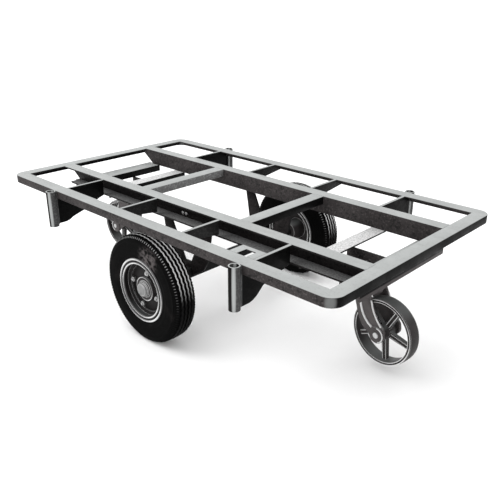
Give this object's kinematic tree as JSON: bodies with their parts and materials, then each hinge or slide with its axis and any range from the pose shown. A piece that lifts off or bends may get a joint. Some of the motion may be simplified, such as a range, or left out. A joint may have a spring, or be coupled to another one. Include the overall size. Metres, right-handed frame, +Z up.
{
  "type": "platform truck",
  "caption": "Open welded platform truck with pneumatic load wheels on a central axle, a trailing spoked swivel caster under each end, and round stake sockets.",
  "frame": {"origin": "on the floor under the middle of the deck", "axes": "+X along the deck, +Y across it to the far side, +Z up"},
  "size_m": [1.664, 0.987, 0.459],
  "materials": {
    "deck_paint": "satin grey enamel, dark on the webs, worn bright along edges",
    "chassis_paint": "dark satin enamel",
    "pipe": "glossy dark enamel on drawn pipe",
    "tyre": "black rubber",
    "wheel_rim": "pressed steel, dark enamel with bright flange edges",
    "hub_iron": "machined casting",
    "bright_cap": "plated",
    "fastener": "plated hexagon hardware",
    "bright_steel": "turned bar",
    "fork_iron": "dark casting",
    "plate_iron": "dark casting",
    "wheel_iron": "dark casting, bright where it rolls"
  },
  "bodies": {
    "frame": {"axle": "chassis_paint", "axle_nuts": "fastener", "beam_bolts": "fastener", "caster_bolts": "fastener", "caster_saddle_left": "chassis_paint", "caster_saddle_right": "chassis_paint", "caster_top_plate_left": "plate_iron", "caster_top_plate_right": "plate_iron", "cross_member_left": "deck_paint", "cross_member_right": "deck_paint", "end_bolster_left": "deck_paint", "end_bolster_right": "deck_paint", "end_rail_left": "deck_paint", "end_rail_right": "deck_paint", "frame_corner_far_left": "deck_paint", "frame_corner_far_right": "deck_paint", "frame_corner_near_left": "deck_paint", "frame_corner_near_right": "deck_paint", "hanger_far": "chassis_paint", "hanger_near": "chassis_paint", "inner_beam_far": "deck_paint", "inner_beam_near": "deck_paint", "inner_bolster_left": "deck_paint", "inner_bolster_right": "deck_paint", "kingpin_left": "bright_steel", "kingpin_right": "bright_steel", "outrigger_far_left": "deck_paint", "outrigger_far_right": "deck_paint", "outrigger_near_left": "deck_paint", "outrigger_near_right": "deck_paint", "pocket_gusset_far_left": "deck_paint", "pocket_gusset_far_right": "deck_paint", "pocket_gusset_near_left": "deck_paint", "pocket_gusset_near_right": "deck_paint", "side_rail_far": "deck_paint", "side_rail_near": "deck_paint", "slot_plate": "deck_paint", "stake_socket_far_left": "pipe", "stake_socket_far_right": "pipe", "stake_socket_near_left": "pipe", "stake_socket_near_right": "pipe"},
    "wheel_near": {"hub_cap_near": "bright_cap", "hub_near": "hub_iron", "lug_nuts_near": "fastener", "rim_near": "wheel_rim", "tyre_near": "tyre"},
    "wheel_far": {"hub_cap_far": "bright_cap", "hub_far": "hub_iron", "lug_nuts_far": "fastener", "rim_far": "wheel_rim", "tyre_far": "tyre"},
    "caster_fork_left": {"caster_axle_left": "bright_steel", "fork_left": "fork_iron"},
    "caster_fork_right": {"caster_axle_right": "bright_steel", "fork_right": "fork_iron"},
    "caster_wheel_left": {"caster_wheel_left": "wheel_iron"},
    "caster_wheel_right": {"caster_wheel_right": "wheel_iron"}
  },
  "joints": [
    {"name": "wheel_near_spin", "type": "hinge", "parent": "frame", "child": "wheel_near", "pos_m": [0, -0.4026, 0.2], "axis": [0, 1, 0], "continuous": true},
    {"name": "wheel_far_spin", "type": "hinge", "parent": "frame", "child": "wheel_far", "pos_m": [0, 0.4026, 0.2], "axis": [0, 1, 0], "continuous": true},
    {"name": "caster_left_swivel", "type": "hinge", "parent": "frame", "child": "caster_fork_left", "pos_m": [-0.64, 0, 0.285], "axis": [0, 0, 1], "continuous": true},
    {"name": "caster_right_swivel", "type": "hinge", "parent": "frame", "child": "caster_fork_right", "pos_m": [0.64, 0, 0.285], "axis": [0, 0, 1], "continuous": true},
    {"name": "caster_left_spin", "type": "hinge", "parent": "caster_fork_left", "child": "caster_wheel_left", "pos_m": [-0.716, 0, 0.145], "axis": [0, 1, 0], "continuous": true},
    {"name": "caster_right_spin", "type": "hinge", "parent": "caster_fork_right", "child": "caster_wheel_right", "pos_m": [0.71565, -0.00728, 0.145], "axis": [0.0958, 0.9954, 0], "continuous": true}
  ]
}
